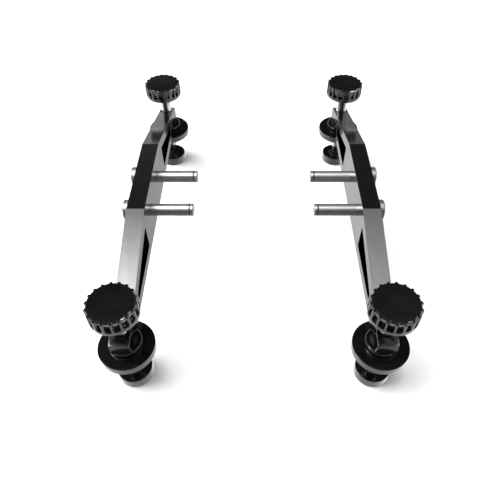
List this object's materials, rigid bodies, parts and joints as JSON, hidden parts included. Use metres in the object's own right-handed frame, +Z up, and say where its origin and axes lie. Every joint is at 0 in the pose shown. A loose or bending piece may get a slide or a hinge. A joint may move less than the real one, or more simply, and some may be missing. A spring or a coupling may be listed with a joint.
{
  "type": "levelling support rail pair",
  "caption": "Pair of gusset-shaped alloy rails on screw-adjusted levelling feet, with plain bolts pointing inwards that carry or grip the work held between them.",
  "frame": {"origin": "on the floor, midway between the rails and midway along them", "axes": "+X across from the left rail to the right rail, +Y along the rails from front to rear, +Z up"},
  "size_m": [0.2256, 0.309, 0.0947],
  "materials": {
    "alloy": "satin brushed and polished",
    "chrome_steel": "bright ground spindle",
    "satin_steel": "satin turned steel",
    "insert_steel": "machined and blackened",
    "knob_black": "moulded semi-gloss black",
    "gloss_black": "polished black",
    "nylon_black": "matt nylon",
    "rubber_black": "matt rubber",
    "ring_rubber": "smooth nitrile"
  },
  "bodies": {
    "left_rail": {"rail_left": "alloy"},
    "right_rail": {"rail_right": "alloy"},
    "seat_front_left": {"ball_seat_front_left": "nylon_black"},
    "screw_front_left": {"spindle_front_left": "chrome_steel", "knob_front_left": "knob_black", "knob_insert_front_left": "insert_steel"},
    "foot_front_left": {"foot_front_left": "gloss_black", "foot_retainer_front_left": "nylon_black", "foot_pad_front_left": "rubber_black"},
    "thrust_front_left": {"lock_washer_front_left": "nylon_black"},
    "lock_front_left": {"lock_disc_front_left": "gloss_black", "lock_insert_front_left": "insert_steel"},
    "pin_slide_front_left": {"bolt_ring_front_left": "ring_rubber"},
    "pin_front_left": {"bolt_front_left": "satin_steel"},
    "seat_rear_left": {"ball_seat_rear_left": "nylon_black"},
    "screw_rear_left": {"spindle_rear_left": "chrome_steel", "knob_rear_left": "knob_black", "knob_insert_rear_left": "insert_steel"},
    "foot_rear_left": {"foot_rear_left": "gloss_black", "foot_retainer_rear_left": "nylon_black", "foot_pad_rear_left": "rubber_black"},
    "thrust_rear_left": {"lock_washer_rear_left": "nylon_black"},
    "lock_rear_left": {"lock_disc_rear_left": "gloss_black", "lock_insert_rear_left": "insert_steel"},
    "pin_slide_rear_left": {"bolt_ring_rear_left": "ring_rubber"},
    "pin_rear_left": {"bolt_rear_left": "satin_steel"},
    "seat_front_right": {"ball_seat_front_right": "nylon_black"},
    "screw_front_right": {"spindle_front_right": "chrome_steel", "knob_front_right": "knob_black", "knob_insert_front_right": "insert_steel"},
    "foot_front_right": {"foot_front_right": "gloss_black", "foot_retainer_front_right": "nylon_black", "foot_pad_front_right": "rubber_black"},
    "thrust_front_right": {"lock_washer_front_right": "nylon_black"},
    "lock_front_right": {"lock_disc_front_right": "gloss_black", "lock_insert_front_right": "insert_steel"},
    "pin_slide_front_right": {"bolt_ring_front_right": "ring_rubber"},
    "pin_front_right": {"bolt_front_right": "satin_steel"},
    "seat_rear_right": {"ball_seat_rear_right": "nylon_black"},
    "screw_rear_right": {"spindle_rear_right": "chrome_steel", "knob_rear_right": "knob_black", "knob_insert_rear_right": "insert_steel"},
    "foot_rear_right": {"foot_rear_right": "gloss_black", "foot_retainer_rear_right": "nylon_black", "foot_pad_rear_right": "rubber_black"},
    "thrust_rear_right": {"lock_washer_rear_right": "nylon_black"},
    "lock_rear_right": {"lock_disc_rear_right": "gloss_black", "lock_insert_rear_right": "insert_steel"},
    "pin_slide_rear_right": {"bolt_ring_rear_right": "ring_rubber"},
    "pin_rear_right": {"bolt_rear_right": "satin_steel"}
  },
  "joints": [
    {"name": "rail_spacing", "type": "slide", "parent": "left_rail", "child": "right_rail", "axis": [1, 0, 0], "range_m": [-0.09, 0.1]},
    {"name": "height_front_left", "type": "slide", "parent": "left_rail", "child": "seat_front_left", "axis": [0, 0, 1], "range_m": [-0.00788, 0.01225]},
    {"name": "knob_turn_front_left", "type": "hinge", "parent": "seat_front_left", "child": "screw_front_left", "pos_m": [-0.092, -0.1337, 0.0882], "axis": [0, 0, 1], "range_deg": [-1620, 2520]},
    {"name": "foot_tilt_front_left", "type": "hinge", "parent": "seat_front_left", "child": "foot_front_left", "pos_m": [-0.092, -0.1337, 0.0062], "axis": [1, 0, 0], "range_deg": [-5, 5]},
    {"name": "lock_drop_front_left", "type": "slide", "parent": "left_rail", "child": "thrust_front_left", "axis": [0, 0, 1], "range_m": [-0.00788, 0]},
    {"name": "lock_turn_front_left", "type": "hinge", "parent": "thrust_front_left", "child": "lock_front_left", "pos_m": [-0.092, -0.1337, 0.0388], "axis": [0, 0, 1], "range_deg": [-1620, 0]},
    {"name": "bolt_slide_front_left", "type": "slide", "parent": "left_rail", "child": "pin_slide_front_left", "axis": [-1, 0, 0], "range_m": [0, 0.03]},
    {"name": "bolt_turn_front_left", "type": "hinge", "parent": "pin_slide_front_left", "child": "pin_front_left", "pos_m": [-0.0704, -0.0212, 0.0678], "axis": [-1, 0, 0], "continuous": true},
    {"name": "height_rear_left", "type": "slide", "parent": "left_rail", "child": "seat_rear_left", "axis": [0, 0, 1], "range_m": [-0.00788, 0.01225]},
    {"name": "knob_turn_rear_left", "type": "hinge", "parent": "seat_rear_left", "child": "screw_rear_left", "pos_m": [-0.092, 0.1337, 0.0882], "axis": [0, 0, 1], "range_deg": [-1620, 2520]},
    {"name": "foot_tilt_rear_left", "type": "hinge", "parent": "seat_rear_left", "child": "foot_rear_left", "pos_m": [-0.092, 0.1337, 0.0062], "axis": [1, 0, 0], "range_deg": [-5, 5]},
    {"name": "lock_drop_rear_left", "type": "slide", "parent": "left_rail", "child": "thrust_rear_left", "axis": [0, 0, 1], "range_m": [-0.00788, 0]},
    {"name": "lock_turn_rear_left", "type": "hinge", "parent": "thrust_rear_left", "child": "lock_rear_left", "pos_m": [-0.092, 0.1337, 0.0388], "axis": [0, 0, 1], "range_deg": [-1620, 0]},
    {"name": "bolt_slide_rear_left", "type": "slide", "parent": "left_rail", "child": "pin_slide_rear_left", "axis": [-1, 0, 0], "range_m": [0, 0.03]},
    {"name": "bolt_turn_rear_left", "type": "hinge", "parent": "pin_slide_rear_left", "child": "pin_rear_left", "pos_m": [-0.0704, 0.0212, 0.0678], "axis": [-1, 0, 0], "continuous": true},
    {"name": "height_front_right", "type": "slide", "parent": "right_rail", "child": "seat_front_right", "axis": [0, 0, 1], "range_m": [-0.00788, 0.01225]},
    {"name": "knob_turn_front_right", "type": "hinge", "parent": "seat_front_right", "child": "screw_front_right", "pos_m": [0.092, -0.1337, 0.0882], "axis": [0, 0, 1], "range_deg": [-1620, 2520]},
    {"name": "foot_tilt_front_right", "type": "hinge", "parent": "seat_front_right", "child": "foot_front_right", "pos_m": [0.092, -0.1337, 0.0062], "axis": [1, 0, 0], "range_deg": [-5, 5]},
    {"name": "lock_drop_front_right", "type": "slide", "parent": "right_rail", "child": "thrust_front_right", "axis": [0, 0, 1], "range_m": [-0.00788, 0]},
    {"name": "lock_turn_front_right", "type": "hinge", "parent": "thrust_front_right", "child": "lock_front_right", "pos_m": [0.092, -0.1337, 0.0388], "axis": [0, 0, 1], "range_deg": [-1620, 0]},
    {"name": "bolt_slide_front_right", "type": "slide", "parent": "right_rail", "child": "pin_slide_front_right", "axis": [1, 0, 0], "range_m": [0, 0.03]},
    {"name": "bolt_turn_front_right", "type": "hinge", "parent": "pin_slide_front_right", "child": "pin_front_right", "pos_m": [0.0704, -0.0212, 0.0678], "axis": [1, 0, 0], "continuous": true},
    {"name": "height_rear_right", "type": "slide", "parent": "right_rail", "child": "seat_rear_right", "axis": [0, 0, 1], "range_m": [-0.00788, 0.01225]},
    {"name": "knob_turn_rear_right", "type": "hinge", "parent": "seat_rear_right", "child": "screw_rear_right", "pos_m": [0.092, 0.1337, 0.0882], "axis": [0, 0, 1], "range_deg": [-1620, 2520]},
    {"name": "foot_tilt_rear_right", "type": "hinge", "parent": "seat_rear_right", "child": "foot_rear_right", "pos_m": [0.092, 0.1337, 0.0062], "axis": [1, 0, 0], "range_deg": [-5, 5]},
    {"name": "lock_drop_rear_right", "type": "slide", "parent": "right_rail", "child": "thrust_rear_right", "axis": [0, 0, 1], "range_m": [-0.00788, 0]},
    {"name": "lock_turn_rear_right", "type": "hinge", "parent": "thrust_rear_right", "child": "lock_rear_right", "pos_m": [0.092, 0.1337, 0.0388], "axis": [0, 0, 1], "range_deg": [-1620, 0]},
    {"name": "bolt_slide_rear_right", "type": "slide", "parent": "right_rail", "child": "pin_slide_rear_right", "axis": [1, 0, 0], "range_m": [0, 0.03]},
    {"name": "bolt_turn_rear_right", "type": "hinge", "parent": "pin_slide_rear_right", "child": "pin_rear_right", "pos_m": [0.0704, 0.0212, 0.0678], "axis": [1, 0, 0], "continuous": true}
  ],
  "couplings": [
    {"joint": "knob_turn_front_left", "follows": "height_front_left", "rad_per_m": 3590.4},
    {"joint": "lock_turn_front_left", "follows": "lock_drop_front_left", "rad_per_m": 3590.4},
    {"joint": "knob_turn_rear_left", "follows": "height_rear_left", "rad_per_m": 3590.4},
    {"joint": "lock_turn_rear_left", "follows": "lock_drop_rear_left", "rad_per_m": 3590.4},
    {"joint": "knob_turn_front_right", "follows": "height_front_right", "rad_per_m": 3590.4},
    {"joint": "lock_turn_front_right", "follows": "lock_drop_front_right", "rad_per_m": 3590.4},
    {"joint": "knob_turn_rear_right", "follows": "height_rear_right", "rad_per_m": 3590.4},
    {"joint": "lock_turn_rear_right", "follows": "lock_drop_rear_right", "rad_per_m": 3590.4}
  ]
}
